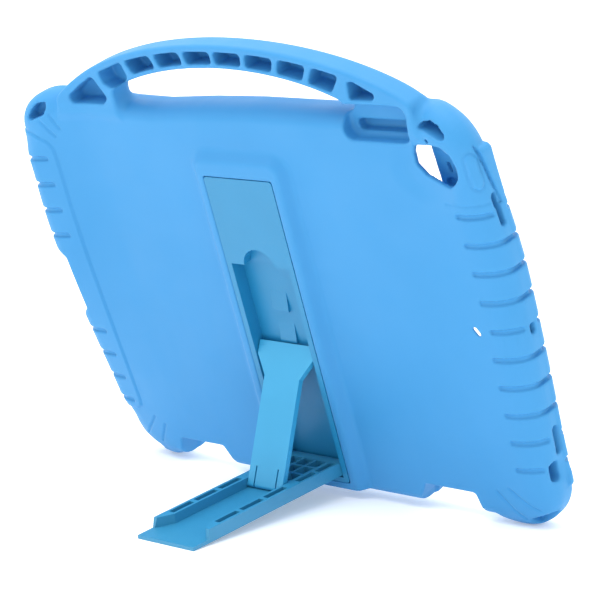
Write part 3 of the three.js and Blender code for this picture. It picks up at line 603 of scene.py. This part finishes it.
def cut_corner_hole(field, centre, heading):
    """A half-moon blind hole with its round side turned outwards."""
    def outline(x, z):
        disc = np.hypot(x - centre[0], z - centre[1]) - CORNER_HOLE_RADIUS
        flat = (centre[0] - x) * heading[0] + (centre[1] - z) * heading[1] - 0.6
        return round_max(disc, flat, 1.4)

    low = (centre[0] - 7, -POCKET_DEPTH, centre[1] - 7)
    high = (centre[0] + 7, ABOVE, centre[1] + 7)
    field.cut(low, high, blind(outline, -POCKET_DEPTH, POCKET_FLOOR_ROUND), 0.7)


def cut_corner_holes(field):
    for (sx, sz), (out_x, out_z, degrees) in CORNER_HOLES.items():
        centre = (sx * (BUMPER_X + out_x), sz * (BUMPER_Z + out_z))
        heading = (sx * math.cos(math.radians(degrees)), sz * math.sin(math.radians(degrees)))
        cut_corner_hole(field, centre, heading)
    for points in TOP_HOLES:
        cut_polygon_pocket(field, points, 0.9, 0.4)


def raise_band(field):
    """The port side's band stands a little proud of the back, with a fine line around it."""
    def height(x, y, z):
        plan = polygon(BAND_OUTLINE, x, z)
        line = BAND_LINE_DEPTH * np.exp(-((plan - 0.3) / 0.5) ** 2)
        return (BAND_RISE * smoothstep(0.3, -0.3, plan) - line) * smoothstep(-19, -17, y)

    field.raise_by((112, -20, -80), (146, ABOVE, 88), height)


def flank_fall(z):
    """How far a place lies below the top of the camera side's flank, up to 30 mm."""
    return np.clip(FLANK_TOP - z, 0, 30)


def raise_flank(field):
    """The camera side's flank keeps straight past the corner ball, with a step at its back edge."""
    inner = -EDGE_HALF_X + 8

    def flank(x, y, z):
        plan = rounded_box(-SIDE_HALF + 0.2, inner, -84, 87, 3.0, x, z)
        back = FLANK_BACK - FLANK_BACK_FALL * flank_fall(z)
        return round_max(plan, np.maximum(y - back, SHELL_FRONT + 4 - y), 1.0)

    field.join((-SIDE_HALF - 1, SHELL_FRONT, -88), (inner, -6, 90), flank, 0.3)


def cut_flank_step(field, body):
    """The dark line where the flank steps down from the top bumper."""
    place, x, y, z = field.block((-SIDE_HALF - 2, -16, 58), (-EDGE_HALF_X + 6, -6, 90))
    line = np.abs(y - STEP_LEVEL + STEP_FALL * flank_fall(z)) - STEP_HALF_WIDTH
    line = np.maximum(line, np.abs(z - 73.5) - 14.5)
    line = round_max(line, -(body[place] + STEP_DEPTH), 0.2)
    field.value[place] = round_max(field.value[place], -line, 0.2)


def cut_volume_recess(field):
    """The recess over the volume buttons, with a deeper slot in its floor."""
    left, right, bottom, top = VOLUME_RECESS

    def recess(x, z):
        return rounded_box(left, right, bottom, top, 5.0, x, z)

    def slot(x, z):
        return stadium(*VOLUME_SLOT, VOLUME_SLOT_RADIUS, x, z)

    low = (left, -VOLUME_DEPTH, bottom)
    field.cut(low, (right, ABOVE, top), blind(recess, -VOLUME_DEPTH, 2.2), 0.9)
    field.cut((-104, -VOLUME_SLOT_DEPTH, 90), (-71, 0, 96), blind(slot, -VOLUME_SLOT_DEPTH, 0.8), 0.5)


def cut_camera_hole(field):
    """The camera's hole with the shallow dish around it."""
    def dish(x, y, z):
        across = (x - CAMERA_DISH[0]) / CAMERA_DISH_HALF[0]
        away = np.hypot(across, (z - CAMERA_DISH[1]) / CAMERA_DISH_HALF[1])
        return -CAMERA_DISH_DEPTH * smoothstep(1.0, 0.45, away) * smoothstep(-7, -4, y)

    def hole(x, y, z):
        return np.maximum(polygon(CAMERA_HOLE, x, z) - 0.2, -FLOOR - 4 - y)

    field.raise_by((-134, -8, 56), (-88, ABOVE, 96), dish)
    field.cut((-129, -FLOOR - 5, 70), (-104, ABOVE, 90), hole, 0.5)


def add_corner_web(field):
    """The front lip is wide behind the camera hole, with two blind slots in it."""
    front = POCKET_FRONT - LIP

    def web(x, y, z):
        return round_max(polygon(CORNER_WEB, x, z), np.maximum(y - POCKET_FRONT, front - y), 0.6)

    field.join((-127, front, 61), (-105, POCKET_FRONT, 84), web)
    for first, second, radius in WEB_SLOTS:
        def slot(x, y, z, first=first, second=second, radius=radius):
            return np.maximum(stadium(first, second, radius, x, z), POCKET_FRONT - WEB_SLOT_DEPTH - y)

        field.cut((-118, front - 2, 62), (-108, POCKET_FRONT + 2, 78), slot, 0.3)


def cut_flank_opening(field, side, middle, half, radius, shift):
    """A round-ended opening through a flank. Its outer mouth lies further forwards by the shift."""
    inner = POCKET_HALF_X - 2
    bottom = middle - half
    top = middle + half + 0.01

    def opening(x, y, z):
        out = np.clip((side * x - POCKET_HALF_X) / WALL, 0, 1.2)
        level = TABLET_MIDDLE - shift * out
        plan = stadium((0, bottom), (0, top), radius, y - level, z)
        return np.maximum(plan, inner - side * x)

    low_x, high_x = sorted((side * inner, side * (SIDE_HALF + 3)))
    low = (low_x, TABLET_MIDDLE - 12, middle - 10)
    field.cut(low, (high_x, TABLET_MIDDLE + 6, middle + 10), opening, 0.4)


def cut_jack_bowl(field):
    """The shallow bowl around the headphone jack."""
    def bowl(x, y, z):
        radial = np.hypot(y - TABLET_MIDDLE, z - JACK)
        inwards = np.maximum(SIDE_HALF - 1.0 + x, 0)
        return (radial - JACK_BOWL_RADIUS + inwards * JACK_BOWL_SLOPE) / math.hypot(1, JACK_BOWL_SLOPE)

    field.cut((-SIDE_HALF - 3, -20, JACK - 12), (-EDGE_HALF_X + 6, 4, JACK + 12), bowl, 0.7)


def cut_flank_openings(field):
    """Speaker slots, microphone, charging port and the headphone jack with its bowl."""
    for name, opening in FLANK_OPENINGS.items():
        if name == "headphone_jack":
            cut_jack_bowl(field)
        cut_flank_opening(field, *opening)


def cut_port_notch(field):
    """The flank opens wide around the charging port."""
    def notch(x, y, z):
        return round_max(rounded_polygon(PORT_NOTCH, NOTCH_CORNER, x, z), NOTCH_FLOOR - y, 1.5)

    field.cut((PORT_NOTCH_INNER, TABLET_MIDDLE - 5, -24), (150, 4, 24), notch, 2.0)


def cut_bottom(field, outline, front, top, shape):
    """The same cut at both sides of the bottom edge. The shape turns its plan and y into a distance."""
    for side in (CAMERA_SIDE, PORT_SIDE):
        points = [(side * x, z) for x, z in outline]
        xs = [x for x, z in points]

        def notch(x, y, z, points=points):
            return shape(rounded_polygon(points, NOTCH_CORNER, x, z), y)

        field.cut((min(xs), front, FIELD_LOW[2]), (max(xs), 4, top), notch, 0.8)


def cut_bottom_notches(field):
    """The two bottom cut-outs in the back, and below them the front rim, which is open as well."""
    def back(plan, y):
        return round_max(plan, NOTCH_FLOOR - y, 1.0)

    def through(plan, y):
        return plan

    cut_bottom(field, BOTTOM_NOTCH, TABLET_MIDDLE - 5, BOTTOM_TOP, back)
    cut_bottom(field, BOTTOM_RIM_NOTCH, SHELL_FRONT - 2, -90, through)


def cut_small_holes(field):
    """The small oval hole through the floor and the pin mark."""
    def hole(x, y, z):
        return np.maximum(stadium(*SMALL_HOLE, SMALL_HOLE_RADIUS, x, z), -FLOOR - 2 - y)

    def funnel(x, y, z):
        radius = SMALL_HOLE_RADIUS + SMALL_HOLE_FLARE * np.clip(-y - SMALL_HOLE_LAND, 0, 4)
        return np.maximum(stadium(*SMALL_HOLE, radius, x, z), y + SMALL_HOLE_LAND)

    def mark(x, z):
        return stadium(*PIN_MARK, PIN_MARK_RADIUS, x, z)

    field.cut((-121, -FLOOR - 3, -4), (-114, 2, 4), hole, 0.3)
    field.cut((-125, -FLOOR - 2, -9), (-108, -0.6, 8), funnel, 0.2)
    field.cut((-118, -4, 87), (-110, ABOVE, 94), blind(mark, -PIN_MARK_DEPTH, 0.3), 0.3)


def raise_power_pill(field):
    """The raised oval over the power button, part way around the rounded edge."""
    mean_radius = (ROUND_WIDE + ROUND_DEPTH) / 2

    def height(x, y, z):
        u = np.maximum(-x - side_half_at(z) + ROUND_WIDE, 0) / ROUND_WIDE
        v = np.maximum(y + ROUND_DEPTH, 0) / ROUND_DEPTH
        along = (np.arctan2(u, np.maximum(v, 1e-3)) - PILL_ANGLE) * mean_radius
        oval = upright_stadium(PILL_REACH, PILL_RADIUS, along, z - PILL_MIDDLE)
        ring = PILL_RING_DEPTH * np.exp(-((oval - 0.4) / 0.6) ** 2)
        return (PILL_RISE * smoothstep(0.4, -0.4, oval) - ring) * smoothstep(-12, -11, y)

    field.raise_by((-141, -12, 62), (-120, 2, 90), height)


def silicone_field(step):
    """The whole silicone body as one distance grid."""
    field = Field(FIELD_LOW, FIELD_HIGH, step)
    field.join(FIELD_LOW, (FIELD_HIGH[0], ABOVE, 108), shell_body)
    raise_flank(field)
    body = field.value.copy()
    field.join((-116, -16, 88), (116, 2, 134), handle, HANDLE_FILLET)
    field.join((-36, -6, -98), (36, PAD_HEIGHT, 84), pad, PAD_FILLET)
    raise_band(field)
    raise_power_pill(field)
    cut_side_grooves(field, body)
    cut_corner_lines(field, body)
    cut_flank_step(field, body)
    cut_camera_hole(field)
    cut_handle_pockets(field)
    cut_volume_recess(field)
    cut_corner_holes(field)
    cut_pocket(field)
    add_corner_web(field)
    cut_window(field)
    cut_flank_openings(field)
    cut_port_notch(field)
    cut_bottom_notches(field)
    cut_small_holes(field)
    return field


CUBE = [(0, 0, 0), (1, 0, 0), (0, 1, 0), (1, 1, 0), (0, 0, 1), (1, 0, 1), (0, 1, 1), (1, 1, 1)]
CUBE_EDGES = [(a, b) for a in range(8) for b in range(a + 1, 8)
              if sum(abs(p - q) for p, q in zip(CUBE[a], CUBE[b])) == 1]


def net_vertices(field, cells):
    """One vertex in each cell that the surface crosses, in the middle of its crossings."""
    total = np.zeros((len(cells), 3), np.float32)
    crossings = np.zeros(len(cells), np.float32)
    samples = [field.value[tuple((cells + offset).T)] for offset in CUBE]
    for a, b in CUBE_EDGES:
        low, high = samples[a], samples[b]
        crossed = (low < 0) != (high < 0)
        share = low[crossed] / (low[crossed] - high[crossed])
        start = np.array(CUBE[a], np.float32)
        total[crossed] += start + share[:, None] * (np.array(CUBE[b], np.float32) - start)
        crossings[crossed] += 1
    origin = np.array([axis[0] for axis in field.axes])
    return origin + field.step * (cells + total / crossings[:, None])


def net_quads(inside, number, axis):
    """The quads across one of the grid's directions, each turned outwards."""
    u, v = (axis + 1) % 3, (axis + 2) % 3
    ahead = np.moveaxis(inside, axis, 0)
    change = np.moveaxis(ahead[:-1] != ahead[1:], 0, axis)
    points = np.argwhere(change)
    points = points[(points[:, u] > 0) & (points[:, v] > 0)]
    leaves = inside[tuple(points.T)]
    ring = []
    for du, dv in ((1, 1), (0, 1), (0, 0), (1, 0)):
        shifted = points.copy()
        shifted[:, u] -= du
        shifted[:, v] -= dv
        ring.append(number[tuple(shifted.T)])
    quad = np.stack(ring, 1)
    quad[~leaves] = quad[~leaves][:, ::-1]
    return quad


def surface_net(field):
    """Vertices and quads of the surface where the grid's distance is zero."""
    nx, ny, nz = (n - 1 for n in field.value.shape)
    inside = field.value < 0
    count = sum(inside[i:i + nx, j:j + ny, k:k + nz].astype(np.int8) for i, j, k in CUBE)
    cells = np.argwhere((count > 0) & (count < 8))
    number = np.full((nx, ny, nz), -1, np.int32)
    number[tuple(cells.T)] = np.arange(len(cells))
    quads = [net_quads(inside, number, axis) for axis in range(3)]
    return net_vertices(field, cells), np.concatenate(quads)


def case_matrix():
    """Takes the case's own millimetres to the row frame in metres, from the tablet seat's mount."""
    seat = next(m for m in frame["record"]["mounts"] if m["name"] == "tablet_seat")
    out = -Vector(seat["axis"]).normalized()
    across = Vector((1, 0, 0))
    up = across.cross(out)
    seat_point = Vector((60, -FLOOR, 20)) * METRES
    origin = Vector(seat["pos_m"]) - across * seat_point.x - out * seat_point.y - up * seat_point.z
    turn = Matrix((across, out, up)).transposed().to_4x4()
    return Matrix.Translation(origin) @ turn @ Matrix.Scale(METRES, 4)


def mesh_object(name, vertices, faces):
    """A mesh object from arrays, with quads or triangles."""
    mesh = bpy.data.meshes.new(name)
    sides = faces.shape[1]
    mesh.vertices.add(len(vertices))
    mesh.vertices.foreach_set("co", vertices.astype(np.float32).ravel())
    mesh.loops.add(faces.size)
    mesh.loops.foreach_set("vertex_index", faces.astype(np.int32).ravel())
    mesh.polygons.add(len(faces))
    mesh.polygons.foreach_set("loop_start", np.arange(0, faces.size, sides, dtype=np.int32))
    mesh.update(calc_edges=True)
    mesh.validate()
    piece = bpy.data.objects.new(name, mesh)
    bpy.context.scene.collection.objects.link(piece)
    return piece


def decimate(piece, triangles):
    """Fewer triangles, with the small ones kept where the surface bends."""
    piece.data.calc_loop_triangles()
    share = triangles / len(piece.data.loop_triangles)
    if share < 1:
        modifier = piece.modifiers.new("fewer", "DECIMATE")
        modifier.ratio = share
        depsgraph = bpy.context.evaluated_depsgraph_get()
        fewer = bpy.data.meshes.new_from_object(piece.evaluated_get(depsgraph))
        piece.modifiers.clear()
        piece.data = fewer


def field_normals(field, points):
    """Outward directions at points of the surface, from the slope of the grid's distance."""
    slopes = np.gradient(field.value, field.step)
    origin = np.array([axis[0] for axis in field.axes])
    place = (points - origin) / field.step
    base = np.clip(np.floor(place).astype(int), 0, np.array(field.value.shape) - 2)
    share = (place - base).astype(np.float32)
    result = np.zeros((len(points), 3), np.float32)
    for offset in CUBE:
        weight = np.prod(np.where(offset, share, 1 - share), axis=1)
        index = tuple((base + offset).T)
        for axis in range(3):
            result[:, axis] += weight * slopes[axis][index]
    return result / np.maximum(np.linalg.norm(result, axis=1, keepdims=True), 1e-6)


def sag(x, z):
    """How far the empty soft case bends out of its own plane towards its sides."""
    lean = PORT_BEND * smoothstep(-110, 50, z) + PORT_BEND_BOTTOM
    lean = lean + PORT_CORNER_BEND * smoothstep(60, 100, z)
    port = lean * smoothstep(90, 150, x)
    return port + CAMERA_CORNER_BEND * smoothstep(20, 95, z) * smoothstep(100, 145, -x)


def bent_normals(field, points):
    """Outward directions at points of the bent surface."""
    x, y, z = points.T
    normals = field_normals(field, np.stack([x, y - sag(x, z), z], 1))
    slope_x = sag(x + 0.5, z) - sag(x - 0.5, z)
    slope_z = sag(x, z + 0.5) - sag(x, z - 0.5)
    tilted = normals - normals[:, 1:2] * np.stack([slope_x, np.zeros_like(x), slope_z], 1)
    return tilted / np.linalg.norm(tilted, axis=1, keepdims=True)


def silicone_shell():
    """The bent silicone body. It stands for the CAD's flat shell."""
    field = silicone_field(GRID_STEP)
    vertices, quads = surface_net(field)
    vertices[:, 1] += sag(vertices[:, 0], vertices[:, 2])
    piece = mesh_object("silicone_body", vertices, quads)
    decimate(piece, TRIANGLES)
    points = np.zeros(3 * len(piece.data.vertices), np.float32)
    piece.data.vertices.foreach_get("co", points)
    normals = bent_normals(field, points.reshape(-1, 3))
    to_row = case_matrix()
    turn = np.array(to_row.to_3x3().normalized())
    piece.data.transform(to_row)
    piece.data.shade_smooth()
    piece.data.normals_split_custom_set_from_vertices((normals @ turn.T).tolist())
    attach(piece, "case")
    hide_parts("silicone_shell")
    return piece


def new_material(name, roughness):
    """A material with its node tree, its shader, and object coordinates for its patterns."""
    material = bpy.data.materials.new(name)
    material.use_nodes = True
    tree = material.node_tree
    shader = tree.nodes["Principled BSDF"]
    shader.inputs["Roughness"].default_value = roughness
    place = tree.nodes.new("ShaderNodeTexCoord")
    return material, tree, shader, place.outputs["Object"]


def noise(tree, place, scale, detail):
    node = tree.nodes.new("ShaderNodeTexNoise")
    node.inputs["Scale"].default_value = scale
    node.inputs["Detail"].default_value = detail
    tree.links.new(place, node.inputs["Vector"])
    return node.outputs["Fac"]


def ramp(tree, factor, low, high, first, second):
    """Takes low..high of a factor to first..second."""
    node = tree.nodes.new("ShaderNodeMapRange")
    node.inputs["From Min"].default_value = low
    node.inputs["From Max"].default_value = high
    node.inputs["To Min"].default_value = first
    node.inputs["To Max"].default_value = second
    tree.links.new(factor, node.inputs["Value"])
    return node.outputs["Result"]


def tint(tree, factor, first, second):
    """A colour that drifts between two close shades."""
    node = tree.nodes.new("ShaderNodeMix")
    node.data_type = "RGBA"
    node.inputs["A"].default_value = (*first, 1)
    node.inputs["B"].default_value = (*second, 1)
    tree.links.new(factor, node.inputs["Factor"])
    return node.outputs["Result"]


def bump(tree, shader, height, strength, distance):
    node = tree.nodes.new("ShaderNodeBump")
    node.inputs["Strength"].default_value = strength
    node.inputs["Distance"].default_value = distance
    tree.links.new(height, node.inputs["Height"])
    tree.links.new(node.outputs["Normal"], shader.inputs["Normal"])


def silicone_material():
    """Matt moulded silicone with a fine skin and a soft sheen."""
    material, tree, shader, place = new_material("silicone", 0.5)
    cloud = ramp(tree, noise(tree, place, 14, 3), 0.35, 0.65, 0, 1)
    tree.links.new(tint(tree, cloud, *SILICONE_SHADES), shader.inputs["Base Color"])
    tree.links.new(ramp(tree, noise(tree, place, 60, 4), 0.3, 0.7, 0.46, 0.58), shader.inputs["Roughness"])
    bump(tree, shader, noise(tree, place, 2600, 2), 0.12, 0.0002)
    shader.inputs["Sheen Weight"].default_value = 0.02
    shader.inputs["Sheen Roughness"].default_value = 0.5
    shader.inputs["Specular IOR Level"].default_value = 0.24
    return material


def plastic_material(name, first, second, roughness):
    """Satin moulded plastic with a fine spark-eroded grain."""
    material, tree, shader, place = new_material(name, roughness)
    cloud = ramp(tree, noise(tree, place, 30, 2), 0.35, 0.65, 0, 1)
    tree.links.new(tint(tree, cloud, first, second), shader.inputs["Base Color"])
    grain = noise(tree, place, 1800, 3)
    satin = ramp(tree, grain, 0.3, 0.7, roughness - 0.05, roughness + 0.07)
    tree.links.new(satin, shader.inputs["Roughness"])
    bump(tree, shader, grain, 0.08, 0.00015)
    return material


def steel_material():
    """Drawn steel with fine streaks."""
    material, tree, shader, place = new_material("pin_steel", 0.3)
    shader.inputs["Metallic"].default_value = 1.0
    streak = noise(tree, place, 900, 2)
    tree.links.new(tint(tree, streak, *STEEL_SHADES), shader.inputs["Base Color"])
    tree.links.new(ramp(tree, streak, 0.3, 0.7, 0.24, 0.36), shader.inputs["Roughness"])
    return material


def table_material():
    """A plain pale surface with a faint glow of its own, so that it stays white in the shade."""
    material, tree, shader, place = new_material("table_white", 0.9)
    soft = ramp(tree, noise(tree, place, 3, 2), 0.3, 0.7, 0, 1)
    tree.links.new(tint(tree, soft, *TABLE_SHADES), shader.inputs["Base Color"])
    shader.inputs["Specular IOR Level"].default_value = 0.1
    shader.inputs["Emission Color"].default_value = (1, 1, 1, 1)
    shader.inputs["Emission Strength"].default_value = 0.25
    return material


def dress(piece, material):
    piece.data.materials.clear()
    piece.data.materials.append(material)


def soften_edges(piece, width):
    """A fine moulded rounding on the edges of a plastic part."""
    modifier = piece.modifiers.new("edges", "BEVEL")
    modifier.limit_method = "ANGLE"
    modifier.angle_limit = math.radians(30)
    modifier.width = width
    modifier.segments = 2
    modifier.harden_normals = True


def dress_stand():
    """Materials and soft edges for the stand's parts, which are the CAD's own solids."""
    nodes = frame["nodes"]
    for name, finish in PLASTICS.items():
        dress(nodes[name], plastic_material(*finish))
        soften_edges(nodes[name], EDGE_ROUNDING * METRES)
    dress(nodes["foot_hinge_pin"], steel_material())


def table():
    """The table that the case stands on."""
    half = 8.0
    vertices = np.array([(-half, -half, 0), (half, -half, 0), (half, half, 0), (-half, half, 0)])
    piece = mesh_object("table", vertices, np.array([[0, 1, 2, 3]]))
    dress(piece, table_material())


def soft_light(name, location, target, size, power):
    """A rectangular lamp that points at a target."""
    lamp = bpy.data.lights.new(name, "AREA")
    lamp.shape = "RECTANGLE"
    lamp.size, lamp.size_y = size
    lamp.energy = power
    holder = bpy.data.objects.new(name, lamp)
    holder.location = location
    holder.rotation_euler = (Vector(target) - Vector(location)).to_track_quat("-Z", "Y").to_euler()
    bpy.context.scene.collection.objects.link(holder)


def lights():
    target = (0, 0, 0.1)
    soft_light("top_box", (0.1, 0.45, 1.6), target, (1.4, 1.4), 12)
    soft_light("left_box", (1.4, 0.9, 0.8), target, (1.2, 1.0), 0.6)
    bpy.context.scene.world = tent()


def tent():
    """White cloth all round, brighter above, in front of the case and towards the port side."""
    brightest_way = (0.25, -0.25, 0.93)
    darkest, brightest = 0.12, 1.84
    world = bpy.data.worlds.new("tent")
    world.use_nodes = True
    tree = world.node_tree
    background = tree.nodes["Background"]
    background.inputs["Color"].default_value = (1, 1, 1, 1)
    place = tree.nodes.new("ShaderNodeTexCoord")
    facing = tree.nodes.new("ShaderNodeVectorMath")
    facing.operation = "DOT_PRODUCT"
    facing.inputs[1].default_value = brightest_way
    tree.links.new(place.outputs["Generated"], facing.inputs[0])
    strength = ramp(tree, facing.outputs["Value"], -1, 1, darkest, brightest)
    tree.links.new(strength, background.inputs["Strength"])
    return world


def camera():
    """The photograph's place and angle, with the slight roll that it has."""
    location = Vector((-0.7569, 0.8009, 0.3132))
    target = Vector((-0.0159, -0.0144, 0.1007))
    roll = math.radians(2.34)
    ahead = (target - location).normalized()
    level = ahead.cross(Vector((0, 0, 1))).normalized()
    upright = level.cross(ahead)
    up = upright * math.cos(roll) + level * math.sin(roll)
    right = ahead.cross(up)
    lens = bpy.data.cameras.new("photo_camera")
    lens.lens = 145.48
    lens.sensor_width = 36
    lens.clip_end = 50
    holder = bpy.data.objects.new("photo_camera", lens)
    holder.matrix_world = Matrix.Translation(location) @ Matrix((right, up, -ahead)).transposed().to_4x4()
    bpy.context.scene.collection.objects.link(holder)
    bpy.context.scene.camera = holder


bpy.context.scene.view_settings.view_transform = "Standard"
camera()
dress(silicone_shell(), silicone_material())
dress_stand()
table()
lights()
